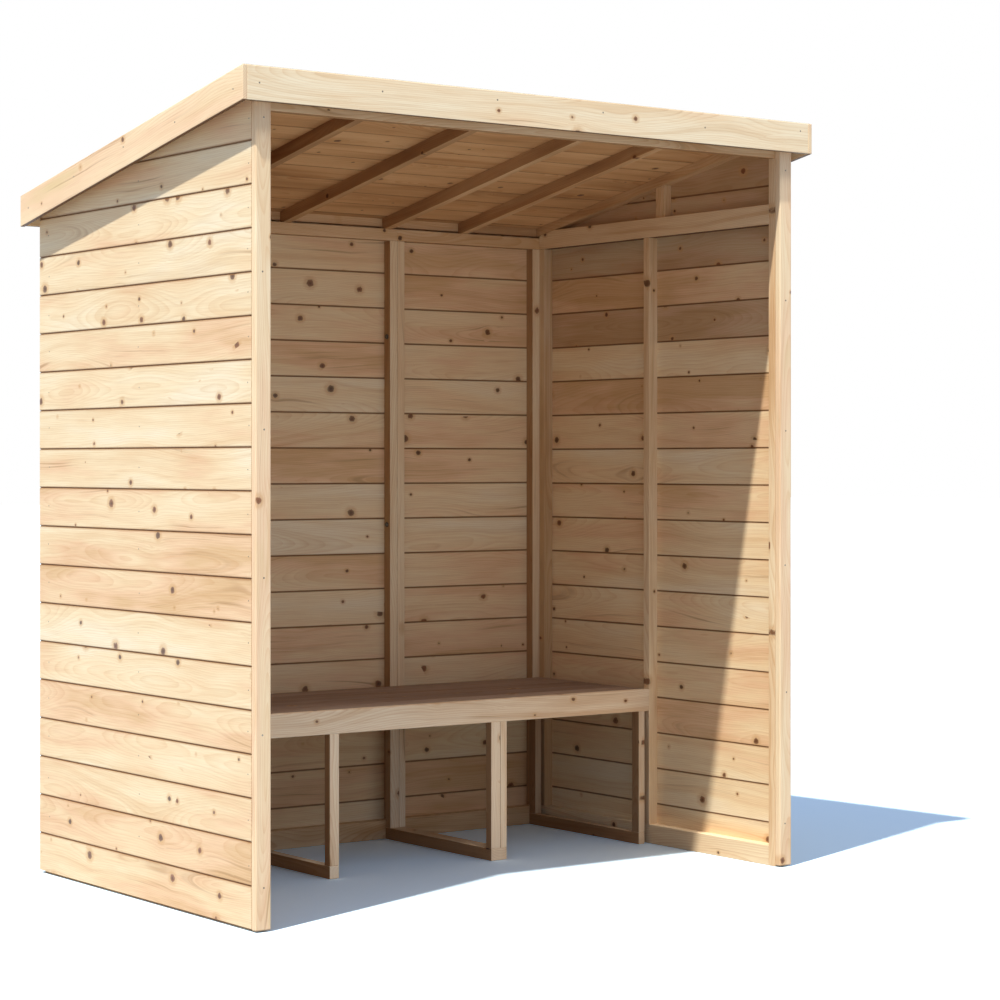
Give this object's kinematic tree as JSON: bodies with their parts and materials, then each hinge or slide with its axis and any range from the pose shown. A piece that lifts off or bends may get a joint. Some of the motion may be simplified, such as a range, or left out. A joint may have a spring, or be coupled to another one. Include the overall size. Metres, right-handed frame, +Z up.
{
  "type": "garden arbor",
  "caption": "Open-fronted timber garden shelter with three boarded walls, a sloping felted roof edged with fascias, and a bench across its back half.",
  "frame": {"origin": "on the ground, under the middle of the overall box", "axes": "X along the open front, from its left to its right seen from outside; +Y from the front to the back; +Z up"},
  "size_m": [1.958, 1.265, 2.2084],
  "materials": {
    "wall_boards": "raw planed spruce boards with V joints",
    "frame_timber": "raw planed softwood",
    "planed_trim": "raw planed softwood",
    "roof_timber": "raw sawn softwood",
    "bench_timber": "raw planed softwood",
    "roofing_felt": "mineral-surfaced bitumen felt, matt"
  },
  "bodies": {
    "root": {"left_cladding": "wall_boards", "left_front_stud": "frame_timber", "left_mid_stud": "frame_timber", "left_back_stud": "frame_timber", "left_bottom_rail": "frame_timber", "left_eaves_rail": "frame_timber", "left_gable_stud": "frame_timber", "left_end_rafter": "roof_timber", "right_cladding": "wall_boards", "right_front_stud": "frame_timber", "right_mid_stud": "frame_timber", "right_back_stud": "frame_timber", "right_bottom_rail": "frame_timber", "right_eaves_rail": "frame_timber", "right_gable_stud": "frame_timber", "right_end_rafter": "roof_timber", "back_left_cladding": "wall_boards", "back_middle_cladding": "wall_boards", "back_right_cladding": "wall_boards", "back_left_studs": "frame_timber", "back_middle_studs": "frame_timber", "back_right_studs": "frame_timber", "back_left_rails": "frame_timber", "back_middle_rails": "frame_timber", "back_right_rails": "frame_timber", "left_front_strip": "planed_trim", "right_front_strip": "planed_trim", "front_header": "frame_timber", "rafters": "roof_timber", "front_roof_rail": "roof_timber", "back_roof_rail": "roof_timber", "left_edge_batten": "roof_timber", "right_edge_batten": "roof_timber", "roof_boards": "roof_timber", "roof_felt": "roofing_felt", "front_fascia": "planed_trim", "back_fascia": "planed_trim", "left_fascia": "planed_trim", "right_fascia": "planed_trim", "bench_seat": "bench_timber", "bench_front_rail": "bench_timber", "bench_back_rail": "bench_timber", "bench_legs": "bench_timber", "bench_runners": "bench_timber", "bench_bearers": "bench_timber"}
  },
  "joints": []
}
